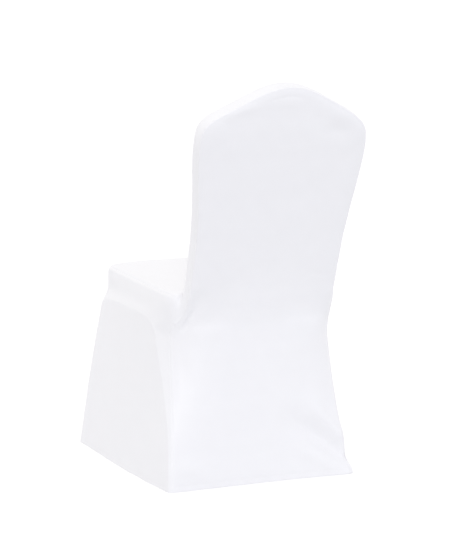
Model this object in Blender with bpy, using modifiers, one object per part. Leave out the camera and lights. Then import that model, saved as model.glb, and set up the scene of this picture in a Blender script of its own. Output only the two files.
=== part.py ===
"""Stretch cover for a crown-back stacking chair, sewn from four panels of one plain knit.

The cover is hollow and stands on its hem. +Z is up, the front of the seat faces -Y,
+X is the sitter's left, and the origin is at the bottom centre of the cover's box.
One cage of four-sided faces covers the whole chair. It is smoothed and thickened,
and then it is parted along its seams into the four panels.
"""
import math

import bmesh
import bpy
from mathutils import Vector

# Cloth
CLOTH_THICKNESS = 0.0015
SEAM_GAP = 0.0003
# Share of the seam gap by which each panel's edge is drawn back, over half because the edges slant
PULL_SHARE = 0.7
SMOOTHING_LEVELS = 1
# Points this close to the floor belong to the hem
HEM_TOLERANCE = 0.000001

# Panels, in the order of their material slots
PANELS = ("front_panel", "back_panel", "side_panel_left", "side_panel_right")
FRONT, BACK, LEFT, RIGHT = range(4)

# The leaning back: a slab, measured up its slope from the waist and behind its edge seam
WAIST_Y = 0.158
WAIST_Z = 0.381
LEAN = math.radians(15.3)

# Seat height at the side seam, and the drop from there to the widest line of the cushion's side
SEAT_Z = 0.450
CUSHION_DROP = 0.022
CUSHION_BULGE = 0.003
# How far the seat top rises in its middle, the share of that at its front edge,
# and how far its rear corner drops
SEAT_CROWN = 0.013
FRONT_CROWN_SHARE = 0.1
REAR_CORNER_DROP = 0.005

# Sections of a side panel from the front corner seam to the rear vertical seam, given for the left.
# The tuck is the line below the cushion where the cloth is drawn in.
# The crest is the line where the cloth bends over the seat rail and down the rear leg.
# The bow carries the cloth off the line from crest to hem, and the kick bends that line as the leg does.
SIDE_COLUMNS = (
    "seat_x", "seat_y", "tuck_drop", "tuck_depth",
    "crest_x", "crest_y", "crest_z", "hem_x", "hem_y", "bow_x", "bow_y", "kick",
)
SIDE_SECTIONS = (
    (0.211, -0.231, 0.062, 0.000, 0.226, -0.242, 0.362, 0.268, -0.270, 0.002, -0.002, 0.0),
    (0.216, -0.200, 0.053, 0.004, 0.229, -0.202, 0.374, 0.264, -0.224, 0.001, -0.001, 0.0),
    (0.218, -0.120, 0.046, 0.006, 0.231, -0.120, 0.382, 0.263, -0.125, -0.002, 0.000, 0.0),
    (0.220, -0.030, 0.045, 0.006, 0.231, -0.030, 0.383, 0.259, -0.030, -0.003, 0.000, 0.0),
    (0.220, 0.040, 0.045, 0.005, 0.231, 0.030, 0.382, 0.253, 0.070, -0.005, 0.007, 0.3),
    (0.219, 0.090, 0.046, 0.004, 0.229, 0.060, 0.375, 0.243, 0.150, -0.006, 0.024, 0.6),
    (0.215, 0.134, 0.050, 0.002, 0.2275, 0.086, 0.362, 0.236, 0.200, -0.006, 0.016, 0.6),
    (0.204, 0.156, 0.000, 0.000, 0.2055, 0.137, 0.353, 0.227, 0.207, 0.000, 0.001, 1.0),
)
# How far the tuck draws in at the front
FRONT_TUCK = 0.002
# Sharpness of the crest, from 0 for round to 1 for a fold
CREST_CREASE = 0.45
# Places in the side panel's cage: the row at the waist, and the crest's row and column
WAIST_ROW = 2
CREST_ROW = 3
CREST_COLUMN = 6
# Shares of the way from the crest down to the hem at which the side's lower rows lie
SKIRT_SHARES = (0.0, 0.06, 0.20, 0.42, 0.70, 1.0)
# The tab beside the rear seat corner, between the corner and the waist
TAB_MIDDLE = (0.2065, 0.152, 0.411)
TAB_FOOT = (0.2045, 0.141, 0.372)

# Front skirt and seat top, as shares of the half width
SEAT_SHARES = (1.0, 0.90, 0.46, 0.0)
# How far the front skirt's middle lies behind its corner seams, row by row from the seat edge down
FRONT_BOW = (-0.005, -0.006, -0.003, 0.001, 0.002, 0.004, 0.006, 0.008, 0.008)
# How far the seat top's middle lies ahead of its side seam, section by section, to meet the leaning back
SEAT_REAR_SHIFT = (0.0, 0.0, 0.0, 0.0, 0.0, 0.003, 0.010, 0.014)

# Edge seam of the back: height up the slope and half width
EDGE_COLUMNS = ("rise", "half_width")
EDGE_SECTIONS = (
    (0.018, 0.1895),
    (0.110, 0.1895),
    (0.195, 0.1905),
    (0.280, 0.1970),
    (0.365, 0.2080),
    (0.438, 0.2150),
    (0.494, 0.2090),
)
# Crown of the back from the shoulder to the middle: half width and height up the slope
CROWN_COLUMNS = ("half_width", "rise")
CROWN_SECTIONS = (
    (0.158, 0.5180),
    (0.082, 0.5590),
    (0.000, 0.5880),
)
# Across the edge of the back, from its front face to its rear face:
# inset from the seam and distance behind it
RIM_COLUMNS = ("inset", "behind")
RIM_SECTIONS = (
    (0.032, -0.040),
    (0.001, -0.036),
    (0.000, 0.000),
    (0.012, 0.0105),
    (0.042, 0.0170),
)
# Place of the edge seam among the rim's sections, and its sharpness, from 0 for round to 1 for a fold
EDGE_SEAM = 2
EDGE_CREASE = 0.6
# Where the front corner of the back's edge ends beside the seat corner,
# and how much higher the front face's edge starts there than the seam
FOOT_CORNER = (0.196, 0.160, 0.452)
FOOT_RISE = 0.050
# Directions of the inset at the shoulder and along the crown: inwards and down
SHOULDER_INSET = (0.85, 0.85)
CROWN_INSET = (0.35, 0.95)
# The back's two faces: shares of the half width, the swell in the middle,
# and how late their rows take the crown's shape
FACE_SHARES = (1.0, 0.66, 0.33, 0.0)
FACE_SWELL = 0.004
CROWN_POWER = 3
# How far the cloth bridges the hollow at the waist behind, and how flat that stays across
WAIST_FILL = 0.0095
WAIST_FLATNESS = 4

# The crown leans to the left from this rise upwards, by this much at its peak
CROWN_SHIFT = 0.014
CROWN_SHIFT_RISE = 0.300

# Rear skirt: sections from the waist to the hem, with its height and its distance to the rear in the middle
REAR_COLUMNS = ("height", "middle_y")
REAR_SECTIONS = (
    (0.372, 0.1912),
    (0.348, 0.1904),
    (0.328, 0.1902),
    (0.280, 0.1914),
    (0.204, 0.1948),
    (0.105, 0.2005),
    (0.000, 0.2070),
)
REAR_SHARES = (1.0, 0.94, 0.78, 0.52, 0.26, 0.0)
# How closely the rear skirt keeps to its middle before it turns to the corner seams
REAR_FLATNESS = 4.5
# How far the rear skirt's right side swings out at the hem, and draws in between waist and hem
REAR_SWING_X = 0.003
REAR_SWING_Y = 0.020
REAR_DRAW_X = 0.014
# How low the swing stays, the half width over which it fades to the left,
# and the depth at which it is full
SWING_LOWNESS = 5
SWING_HALF_WIDTH = 0.22
SWING_DEPTH = 0.20

# Pulls of the chair on the cloth: the middle of each, its reach, and how far it moves the cloth there
PULL_COLUMNS = ("middle", "reach", "move")
PULLS = (
    # The right shoulder is lower and rounder than the left
    ((-0.185, 0.305, 0.875), 0.060, (0.004, 0.000, -0.007)),
    # The right end of the waist stands out a little
    ((-0.200, 0.165, 0.450), 0.055, (-0.006, 0.000, 0.000)),
)

# Main folds: where each starts and ends, its half width, and its height, which is below zero for a trough.
# Each rises to its full height over this share of its way.
FOLD_RISE = 0.6
FOLD_COLUMNS = ("start", "end", "half_width", "height")
FOLDS = (
    ((-0.050, 0.194, 0.170), (-0.216, 0.212, 0.036), 0.024, -0.009),
    ((-0.110, 0.192, 0.205), (-0.204, 0.202, 0.092), 0.019, 0.005),
    ((-0.070, 0.205, 0.090), (-0.226, 0.223, 0.011), 0.020, 0.005),
)

WHITE = (0.86, 0.86, 0.88, 1.0)
ROUGHNESS = 0.62


def table(columns, rows):
    """Each row as a dictionary by its columns' names."""
    return [dict(zip(columns, row)) for row in rows]


def clear_scene():
    for item in list(bpy.data.objects):
        bpy.data.objects.remove(item, do_unlink=True)


def on_back(x, rise, behind):
    """A point of the leaning back, rise up its slope and behind the plane of its edge seam."""
    y = WAIST_Y + rise * math.sin(LEAN) + behind * math.cos(LEAN)
    z = WAIST_Z + rise * math.cos(LEAN) - behind * math.sin(LEAN)
    return Vector((x + crown_shift(rise), y, z))


def crown_shift(rise):
    """How far the crown lies to the left at a rise."""
    share = max(0.0, (rise - CROWN_SHIFT_RISE) / (CROWN_SECTIONS[-1][1] - CROWN_SHIFT_RISE))
    return CROWN_SHIFT * share


def mirrored(values):
    """Values from the left edge to the middle, carried on to the right edge."""
    return list(values) + [-value for value in reversed(values[:-1])]


class Cage:
    """Points and four-sided faces, each face with its panel."""

    def __init__(self):
        self.points = []
        self.faces = []
        self.panels = []
        self.folds = {}

    def point(self, position):
        self.points.append(Vector(position))
        return len(self.points) - 1

    def mark_fold(self, line, sharpness):
        """Note a line of points along which the cloth bends more sharply."""
        self.folds.update((frozenset(pair), sharpness) for pair in zip(line, line[1:]))

    def grid(self, rows, panel):
        """Faces between rows of points."""
        for lower, upper in zip(rows, rows[1:]):
            for column in range(len(lower) - 1):
                self.faces.append((lower[column], lower[column + 1], upper[column + 1], upper[column]))
                self.panels.append(panel)


def side_rows(cage, sign):
    """Rows of one side panel from the seat seam to the hem, each from front to rear."""
    rows = [[] for _ in range(CREST_ROW + len(SKIRT_SHARES))]
    sections = table(SIDE_COLUMNS, SIDE_SECTIONS)
    for index, section in enumerate(sections[:-1]):
        x, y = section["seat_x"], section["seat_y"]
        tuck_y = y + FRONT_TUCK if index == 0 else y
        column = [
            (x, y, SEAT_Z),
            (x + CUSHION_BULGE, y, SEAT_Z - CUSHION_DROP),
            (x - section["tuck_depth"], tuck_y, SEAT_Z - section["tuck_drop"]),
        ]
        column += skirt_points(section)
        for row, (px, py, pz) in zip(rows, column):
            row.append(cage.point((sign * px, py, pz)))
    last = sections[-1]
    corner = (last["seat_x"], last["seat_y"], SEAT_Z - REAR_CORNER_DROP)
    column = [corner, TAB_MIDDLE, TAB_FOOT] + skirt_points(last)
    for row, (px, py, pz) in zip(rows, column):
        row.append(cage.point((sign * px, py, pz)))
    return rows


def mark_crest(cage, rows):
    """Note the edges of one side's crest, over the seat rail and then down the rear leg."""
    rail = rows[CREST_ROW][:CREST_COLUMN + 1]
    leg = [row[CREST_COLUMN] for row in rows[CREST_ROW:]]
    for line in (rail, leg):
        cage.mark_fold(line, CREST_CREASE)


def skirt_points(section):
    """Points of one section from the crest down to the hem."""
    points = []
    for share in SKIRT_SHARES:
        bow = 4.0 * share * (1.0 - share)
        kicked = share * share * (3.0 - 2.0 * share)
        way = share + section["kick"] * (kicked - share)
        x = section["crest_x"] + way * (section["hem_x"] - section["crest_x"]) + bow * section["bow_x"]
        y = section["crest_y"] + way * (section["hem_y"] - section["crest_y"]) + bow * section["bow_y"]
        points.append((x, y, section["crest_z"] * (1.0 - share)))
    return points


def seat_rows(cage, left, right):
    """Rows of the seat top from front to rear, each from left to right."""
    rows = []
    shares = mirrored(SEAT_SHARES)
    for index, (start, end) in enumerate(zip(left[0], right[0])):
        edge = cage.points[start]
        row = [start]
        for share in shares[1:-1]:
            fall = 1.0 - share * share
            y = edge.y - fall * SEAT_REAR_SHIFT[index]
            z = edge.z + fall * SEAT_CROWN
            if index == 0:
                y += fall * FRONT_BOW[0]
                z -= fall * SEAT_CROWN * (1.0 - FRONT_CROWN_SHARE)
            row.append(cage.point((edge.x * share, y, z)))
        rows.append(row + [end])
    return rows


def front_rows(cage, left, right, seat):
    """Rows of the front skirt from the seat edge to the hem, each from left to right."""
    rows = [seat[0]]
    shares = mirrored(SEAT_SHARES)
    for index in range(1, len(left)):
        start, end = left[index][0], right[index][0]
        edge = cage.points[start]
        row = [start]
        for share in shares[1:-1]:
            y = edge.y + (1.0 - share * share) * FRONT_BOW[index]
            row.append(cage.point((edge.x * share, y, edge.z)))
        rows.append(row + [end])
    return rows


def edge_outline():
    """Seam of the back from the left waist over the crown to the right waist.

    Each entry is the half width with its sign, the rise, and the direction of its inset.
    """
    left = [(row["half_width"], row["rise"], (1.0, 0.0)) for row in table(EDGE_COLUMNS, EDGE_SECTIONS)]
    corner_x, corner_rise, _ = left.pop()
    left.append((corner_x, corner_rise, SHOULDER_INSET))
    crown = [(row["half_width"], row["rise"], CROWN_INSET) for row in table(CROWN_COLUMNS, CROWN_SECTIONS)]
    peak_x, peak_rise, _ = crown.pop()
    half = left + crown
    middle = [(peak_x, peak_rise, (0.0, 1.0))]
    right = [(-x, rise, (-inset[0], inset[1])) for x, rise, inset in reversed(half)]
    return half + middle + right


def rim_rows(cage):
    """Rows across the edge of the back, one for each place on its outline above the waist."""
    rows = []
    outline = edge_outline()
    for index, (x, rise, direction) in enumerate(outline):
        row = []
        for place, section in enumerate(table(RIM_COLUMNS, RIM_SECTIONS)):
            inner_x = x - section["inset"] * direction[0]
            inner_rise = rise - section["inset"] * direction[1]
            point = on_back(inner_x, inner_rise, section["behind"])
            if place < EDGE_SEAM and index in (0, len(outline) - 1):
                point = on_back(inner_x, inner_rise + FOOT_RISE, section["behind"])
                if place > 0:
                    point = (math.copysign(FOOT_CORNER[0], x), FOOT_CORNER[1], FOOT_CORNER[2])
            row.append(cage.point(point))
        rows.append(row)
    return rows


def face_rows(cage, rim, side, first_row):
    """Rows of the back's front or rear face up from first_row, between the two edges of the rim."""
    count = len(EDGE_SECTIONS)
    section = table(RIM_COLUMNS, RIM_SECTIONS)[side]
    outline = edge_outline()
    crown_rise = [outline[count + index][1] for index in range(len(CROWN_SECTIONS))]
    corner_rise = outline[count - 1][1]
    shares = mirrored(FACE_SHARES)
    swell = math.copysign(FACE_SWELL, section["behind"])
    rows = [first_row]
    for index in range(count - 1):
        x, rise, _ = outline[index]
        lift = ((index + 1) / count) ** CROWN_POWER
        row = [rim[index][side]]
        for column, share in enumerate(shares[1:-1]):
            reach = min(column, len(shares) - 3 - column)
            up = rise + lift * (crown_rise[reach] - corner_rise)
            behind = section["behind"] + swell * (1.0 - share * share)
            if index == 0 and side != 0:
                behind += WAIST_FILL * (1.0 - abs(share) ** WAIST_FLATNESS)
            row.append(cage.point(on_back((x - section["inset"]) * share, up, behind)))
        rows.append(row + [rim[-1 - index][side]])
    rows.append([rim[index][side] for index in range(count - 1, len(rim) - count + 1)])
    return rows


def rear_rows(cage, left, right):
    """Rows of the rear skirt from the waist to the hem, each from left to right."""
    rows = []
    shares = mirrored(REAR_SHARES)
    for index, section in enumerate(table(REAR_COLUMNS, REAR_SECTIONS)):
        start, end = left[WAIST_ROW + index][-1], right[WAIST_ROW + index][-1]
        row = [start]
        for share in shares[1:-1]:
            edge = cage.points[start if share > 0.0 else end]
            across = abs(share) ** REAR_FLATNESS
            y = section["middle_y"] + across * (edge.y - section["middle_y"])
            z = section["height"] + across * (edge.z - section["height"])
            row.append(cage.point((abs(edge.x) * share, y, z)))
        rows.append(row + [end])
    return rows


def swing_right_rear(point):
    """Move the rear skirt's right side outwards near the hem and inwards above it."""
    if point.z > WAIST_Z or point.y < 0.0:
        return
    height = point.z / WAIST_Z
    low = (1.0 - height) ** SWING_LOWNESS
    right = min(1.0, max(0.0, 0.5 - 0.5 * point.x / SWING_HALF_WIDTH))
    rear = min(1.0, point.y / SWING_DEPTH)
    place = (right * rear) ** 2
    point.x += place * (4.0 * REAR_DRAW_X * height * (1.0 - height) - REAR_SWING_X * low)
    point.y += place * REAR_SWING_Y * low


def move_by_pulls(point):
    """Move a point by the pulls of the chair."""
    moves = []
    for row in table(PULL_COLUMNS, PULLS):
        away = (point - Vector(row["middle"])).length / row["reach"]
        moves.append(math.exp(-away * away) * Vector(row["move"]))
    for move in moves:
        point += move


def cover_cage():
    """The cage of the whole cover."""
    cage = Cage()
    left = side_rows(cage, 1)
    right = side_rows(cage, -1)
    cage.grid(left, LEFT)
    cage.grid(right, RIGHT)
    mark_crest(cage, left)
    mark_crest(cage, right)
    seat = seat_rows(cage, left, right)
    cage.grid(seat, FRONT)
    cage.grid(front_rows(cage, left, right, seat), FRONT)
    rear = rear_rows(cage, left, right)
    cage.grid(rear, BACK)

    rim = rim_rows(cage)
    cage.mark_fold([row[EDGE_SEAM] for row in rim], EDGE_CREASE)
    left_foot = [left[0][-1], left[1][-1], left[2][-1], rear[0][1], rear[0][2]]
    right_foot = [right[0][-1], right[1][-1], right[2][-1], rear[0][-2], rear[0][-3]]
    around = [left_foot] + rim + [right_foot]
    cage.grid([row[:EDGE_SEAM + 1] for row in around], FRONT)
    cage.grid([row[EDGE_SEAM:] for row in around], BACK)
    cage.grid(face_rows(cage, rim, 0, seat[-1]), FRONT)
    cage.grid(face_rows(cage, rim, -1, rear[0][2:-2]), BACK)
    for point in cage.points:
        swing_right_rear(point)
        move_by_pulls(point)
    return cage


def cloth_material(name):
    material = bpy.data.materials.new(name)
    material.use_nodes = True
    shader = material.node_tree.nodes["Principled BSDF"]
    shader.inputs["Base Color"].default_value = WHITE
    shader.inputs["Roughness"].default_value = ROUGHNESS
    shader.inputs["Metallic"].default_value = 0.0
    material.diffuse_color = WHITE
    return material


def fold_height(point):
    """Height of the main folds at a point of the cloth."""
    total = 0.0
    for fold in table(FOLD_COLUMNS, FOLDS):
        start, end = Vector(fold["start"]), Vector(fold["end"])
        line = end - start
        share = min(1.0, max(0.0, (point - start).dot(line) / line.length_squared))
        reach = (point - start - share * line).length / fold["half_width"]
        risen = min(1.0, share / FOLD_RISE)
        total += fold["height"] * risen * risen * (3.0 - 2.0 * risen) * math.exp(-reach * reach)
    return total


def smooth_surface(cage, materials):
    """The cage as one smoothed open surface with its main folds."""
    mesh = bpy.data.meshes.new("cover_surface")
    mesh.from_pydata(cage.points, [], cage.faces)
    for material in materials:
        mesh.materials.append(material)
    mesh.polygons.foreach_set("material_index", cage.panels)
    bm = bmesh.new()
    bm.from_mesh(mesh)
    bmesh.ops.recalc_face_normals(bm, faces=bm.faces)
    crease = bm.edges.layers.float.new("crease_edge")
    for edge in bm.edges:
        edge[crease] = cage.folds.get(frozenset(vertex.index for vertex in edge.verts), 0.0)
    bm.to_mesh(mesh)
    bm.free()

    cover = bpy.data.objects.new("cover_surface", mesh)
    bpy.context.scene.collection.objects.link(cover)
    smoothing = cover.modifiers.new("smooth", "SUBSURF")
    smoothing.levels = SMOOTHING_LEVELS
    smoothing.render_levels = SMOOTHING_LEVELS
    bpy.context.view_layer.update()
    smoothed = bpy.data.meshes.new_from_object(cover.evaluated_get(bpy.context.evaluated_depsgraph_get()))
    bpy.data.objects.remove(cover, do_unlink=True)

    normals = [vertex.normal.copy() for vertex in smoothed.vertices]
    for vertex, normal in zip(smoothed.vertices, normals):
        lift = fold_height(vertex.co) * normal
        if on_hem(vertex):
            lift.z = 0.0
        vertex.co += lift
    centre(smoothed)
    bm = bmesh.new()
    bm.from_mesh(smoothed)
    bmesh.ops.triangulate(bm, faces=bm.faces, quad_method="SHORT_EDGE")
    bm.to_mesh(smoothed)
    bm.free()
    return smoothed


def on_hem(vertex):
    return abs(vertex.co.z) < HEM_TOLERANCE


def centre(mesh):
    """Move a mesh sideways so that its box is centred on the origin."""
    for axis in (0, 1):
        places = [vertex.co[axis] for vertex in mesh.vertices]
        middle = 0.5 * (min(places) + max(places))
        for vertex in mesh.vertices:
            vertex.co[axis] -= middle


def thick_cloth(surface):
    """The surface thickened inwards, with its outer points first and each inner point in the same order."""
    cover = bpy.data.objects.new("cover_cloth", surface)
    bpy.context.scene.collection.objects.link(cover)
    thickness = cover.modifiers.new("thickness", "SOLIDIFY")
    thickness.thickness = CLOTH_THICKNESS
    thickness.offset = -1.0
    bpy.context.view_layer.update()
    cloth = bpy.data.meshes.new_from_object(cover.evaluated_get(bpy.context.evaluated_depsgraph_get()))
    bpy.data.objects.remove(cover, do_unlink=True)
    return cloth


def rim_triangles(start, end, count):
    """The cut edge's two faces, split the same way on both panels of a seam."""
    if start < end:
        return (end, start, end + count), (start, start + count, end + count)
    return (end, start, start + count), (end, start + count, end + count)


def panel_mesh(surface, cloth, panel):
    """One panel as a closed mesh, drawn back from its seams by half of the gap."""
    count = len(surface.vertices)
    faces = [polygon for polygon in surface.polygons if polygon.material_index == panel]
    seam_points = {
        vertex
        for polygon in surface.polygons if polygon.material_index != panel
        for vertex in polygon.vertices
    }
    pull = {}
    edges = set()
    for polygon in faces:
        corners = list(polygon.vertices)
        for index, corner in enumerate(corners):
            following = corners[(index + 1) % len(corners)]
            edges.add((corner, following))
            if corner in seam_points:
                inward = polygon.center - surface.vertices[corner].co
                pull[corner] = pull.get(corner, Vector()) + inward.normalized()
    mesh_points = []
    new_index = {}
    for layer in (0, count):
        for vertex in sorted({corner for polygon in faces for corner in polygon.vertices}):
            position = cloth.vertices[vertex + layer].co.copy()
            if vertex in pull:
                normal = surface.vertices[vertex].normal
                inward = pull[vertex] - pull[vertex].dot(normal) * normal
                position += inward.normalized() * SEAM_GAP * PULL_SHARE
            if on_hem(surface.vertices[vertex]):
                position.z = 0.0
            new_index[vertex + layer] = len(mesh_points)
            mesh_points.append(position)
    mesh_faces = []
    for polygon in faces:
        corners = list(polygon.vertices)
        mesh_faces.append([new_index[corner] for corner in corners])
        mesh_faces.append([new_index[corner + count] for corner in reversed(corners)])
    for start, end in sorted(edges):
        if (end, start) not in edges:
            for rim in rim_triangles(start, end, count):
                mesh_faces.append([new_index[corner] for corner in rim])
    mesh = bpy.data.meshes.new(PANELS[panel])
    mesh.from_pydata(mesh_points, [], mesh_faces)
    mesh.shade_smooth()
    return mesh


def build():
    clear_scene()
    collection = bpy.data.collections.new("chair_cover")
    bpy.context.scene.collection.children.link(collection)
    materials = [cloth_material("knit_" + name) for name in PANELS]
    surface = smooth_surface(cover_cage(), materials)
    cloth = thick_cloth(surface)
    for panel, name in enumerate(PANELS):
        mesh = panel_mesh(surface, cloth, panel)
        mesh.materials.append(materials[panel])
        collection.objects.link(bpy.data.objects.new(name, mesh))


build()
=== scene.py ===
"""Looks of a fitted stretch chair cover, made around its packed panels.

The cloth is worked out from one cage of four-sided faces, smoothed, folded and creased,
and parted along its seams into four panels whose edges are turned in, with a stitched hem.
"""

import math

import bmesh
import bpy
import numpy as np
from mathutils import Matrix, Vector
from mathutils.bvhtree import BVHTree
from mathutils.kdtree import KDTree


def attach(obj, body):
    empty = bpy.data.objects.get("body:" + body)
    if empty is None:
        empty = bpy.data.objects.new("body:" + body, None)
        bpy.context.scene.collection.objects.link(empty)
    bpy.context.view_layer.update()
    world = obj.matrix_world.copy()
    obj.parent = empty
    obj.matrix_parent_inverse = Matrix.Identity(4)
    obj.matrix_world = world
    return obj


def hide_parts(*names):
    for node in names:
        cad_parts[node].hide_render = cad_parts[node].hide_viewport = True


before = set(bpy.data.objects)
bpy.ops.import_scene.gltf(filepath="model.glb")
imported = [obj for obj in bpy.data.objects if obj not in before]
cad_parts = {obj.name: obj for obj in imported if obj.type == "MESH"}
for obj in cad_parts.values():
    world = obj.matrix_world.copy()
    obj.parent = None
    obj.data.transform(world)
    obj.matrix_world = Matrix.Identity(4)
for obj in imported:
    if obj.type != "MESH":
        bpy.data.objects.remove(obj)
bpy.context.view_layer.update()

# Cloth: its thickness, how often its cage is smoothed here and in the solids,
# how near the floor the points of its hem lie, and the least length that counts
CLOTH_THICKNESS = 0.0009
FINE_LEVELS = 4
COARSE_LEVELS = 1
HEM_TOLERANCE = 0.000001
TINY = 1e-12

# Panels, in the order of their material slots
PANELS = ("front_panel", "back_panel", "side_panel_left", "side_panel_right")
FRONT, BACK, LEFT, RIGHT = range(4)

# The leaning back: a slab, measured up its slope from the waist and behind the plane of its outline
WAIST_Y = 0.158
WAIST_Z = 0.381
LEAN = math.radians(15.3)

# Seat height at the side seam, the drop from there to the line along the cushion's side,
# and how far that line bulges
SEAT_Z = 0.450
CUSHION_DROP = 0.022
CUSHION_BULGE = 0.0055
# How far the seat top rises in its middle, how far its front edge rises from the corner to the middle,
# and how far its rear corner drops
SEAT_CROWN = 0.014
FRONT_SWELL = (0.000, 0.007, 0.005, -0.001)
REAR_CORNER_DROP = 0.005
# How flat the seat top stays from its middle towards the side seams
SEAT_FLATNESS = 5

# Sections of a side panel from the front corner seam to the rear vertical seam, given for the left.
# The tuck is the line below the cushion where the cloth is drawn in.
# The crest is the line where the cloth bends over the seat rail and down the rear leg.
# The bow carries the cloth off the line from crest to hem, and the kick bends that line as the leg does.
SIDE_COLUMNS = (
    "seat_x", "seat_y", "tuck_drop", "tuck_depth",
    "crest_x", "crest_y", "crest_z", "hem_x", "hem_y", "bow_x", "bow_y", "kick",
)
SIDE_SECTIONS = (
    (0.208, -0.229, 0.062, -0.001, 0.2245, -0.241, 0.352, 0.268, -0.270, 0.002, -0.002, 0.0),
    (0.213, -0.200, 0.053, -0.003, 0.229, -0.202, 0.374, 0.264, -0.224, 0.001, -0.001, 0.0),
    (0.215, -0.120, 0.046, -0.006, 0.231, -0.120, 0.382, 0.263, -0.125, -0.002, 0.000, 0.0),
    (0.217, -0.030, 0.045, -0.007, 0.231, -0.030, 0.383, 0.259, -0.030, -0.003, 0.000, 0.0),
    (0.217, 0.040, 0.045, -0.008, 0.231, 0.030, 0.382, 0.253, 0.070, -0.005, 0.007, 0.3),
    (0.216, 0.090, 0.046, -0.007, 0.229, 0.060, 0.375, 0.243, 0.150, -0.006, 0.024, 0.6),
    (0.212, 0.134, 0.050, -0.002, 0.2275, 0.086, 0.362, 0.236, 0.200, -0.006, 0.016, 0.6),
    (0.202, 0.156, 0.000, 0.000, 0.2065, 0.137, 0.353, 0.227, 0.207, 0.000, 0.001, 1.0),
)
# How far the tuck draws in at the front
FRONT_TUCK = 0.002
# Sharpness of the crest, from 0 for round to 1 for a fold
CREST_CREASE = 0.6
# Places in the side panel's cage: the row at the waist, and the crest's row and column
WAIST_ROW = 2
CREST_ROW = 3
CREST_COLUMN = 6
# Shares of the way from the crest down to the hem at which the side's lower rows lie
SKIRT_SHARES = (0.0, 0.06, 0.20, 0.42, 0.70, 1.0)
# The tab beside the rear seat corner, between the corner and the waist
TAB_MIDDLE = (0.2040, 0.152, 0.411)
TAB_FOOT = (0.2040, 0.142, 0.372)

# Front skirt and seat top, as shares of the half width
SEAT_SHARES = (1.0, 0.90, 0.46, 0.0)
# How far the front skirt's middle lies behind its corner seams, row by row from the seat edge down
FRONT_BOW = (-0.005, -0.006, -0.003, 0.001, 0.002, 0.004, 0.006, 0.008, 0.008)
# How far the seat top's middle lies ahead of its side seam, section by section, to meet the leaning back
SEAT_REAR_SHIFT = (0.0, 0.0, 0.0, 0.0, 0.0, 0.003, 0.010, 0.014)

# Outline of the back from the waist to the shoulder: height up the slope and half width
EDGE_COLUMNS = ("rise", "half_width")
EDGE_SECTIONS = (
    (0.018, 0.1895),
    (0.110, 0.1895),
    (0.195, 0.1905),
    (0.280, 0.1970),
    (0.365, 0.2080),
    (0.438, 0.2150),
    (0.494, 0.2090),
)
# Crown of the back from the shoulder to the middle: half width and height up the slope
CROWN_COLUMNS = ("half_width", "rise")
CROWN_SECTIONS = (
    (0.158, 0.5180),
    (0.082, 0.5590),
    (0.000, 0.5880),
)
# Across the edge of the back, from its front face to its rear face:
# inset from the outline, distance behind its plane, and how much farther behind it lies along the crown
RIM_COLUMNS = ("inset", "behind", "crown_behind")
RIM_SECTIONS = (
    (0.032, -0.040, 0.0000),
    (0.001, -0.036, 0.0000),
    (0.004, 0.008, 0.0040),
    (0.014, 0.0130, 0.0030),
    (0.042, 0.0170, 0.0000),
)
# Rises between which the seam moves back to its place along the crown
CROWN_SEAM_LOW = 0.430
CROWN_SEAM_HIGH = 0.520
# Place of the edge seam among the rim's sections, and its sharpness, from 0 for round to 1 for a fold
EDGE_SEAM = 2
EDGE_CREASE = 0.6
# Sharpness of the edge's front corner below the shoulder, and the section where that ends
FRONT_EDGE_CREASE = 0.2
FRONT_EDGE_TOP = 6
# Where the front corner of the back's edge ends beside the seat corner,
# and how much higher the front face's edge starts there than the seam
FOOT_CORNER = (0.192, 0.159, 0.455)
FOOT_RISE = 0.050
# Directions of the inset at the shoulder and along the crown: inwards and down
SHOULDER_INSET = (0.85, 0.85)
CROWN_INSET = (0.35, 0.95)
# The back's two faces: shares of the half width, the swell in the middle,
# and how late their rows take the crown's shape
FACE_SHARES = (1.0, 0.66, 0.33, 0.0)
FACE_SWELL = 0.004
CROWN_POWER = 3
# How far the cloth bridges the hollow at the waist behind, and how flat that stays across
WAIST_FILL = 0.0095
WAIST_FLATNESS = 4

# The crown leans to the left from this rise upwards, by this much at its peak
CROWN_SHIFT = 0.014
CROWN_SHIFT_RISE = 0.300

# Rear skirt: sections from the waist to the hem, with its height and its distance to the rear in the middle
REAR_COLUMNS = ("height", "middle_y")
REAR_SECTIONS = (
    (0.372, 0.1912),
    (0.348, 0.1904),
    (0.328, 0.1902),
    (0.280, 0.1914),
    (0.204, 0.1948),
    (0.105, 0.2005),
    (0.000, 0.2070),
)
REAR_SHARES = (1.0, 0.94, 0.78, 0.52, 0.26, 0.0)
# Share of the half width from which the rear skirt turns to the corner seams, and how evenly it turns
REAR_TURN = 0.70
REAR_TURN_POWER = 1.3
# How far the rear skirt's right side swings out at the hem, and draws in between waist and hem
REAR_SWING_X = 0.003
REAR_SWING_Y = 0.020
REAR_DRAW_X = 0.014
# How low the swing stays, the half width over which it fades to the left,
# and the depth at which it is full
SWING_LOWNESS = 5
SWING_HALF_WIDTH = 0.22
SWING_DEPTH = 0.20

# Pulls of the chair on the cloth: the middle of each, its reach, and how far it moves the cloth there
PULL_COLUMNS = ("middle", "reach", "move")
PULLS = (
    # The right shoulder is lower and rounder than the left
    ((-0.195, 0.305, 0.866), 0.040, (0.006, 0.000, -0.006)),
    # The right end of the waist stands out a little
    ((-0.200, 0.165, 0.450), 0.055, (-0.006, 0.000, 0.000)),
)

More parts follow.
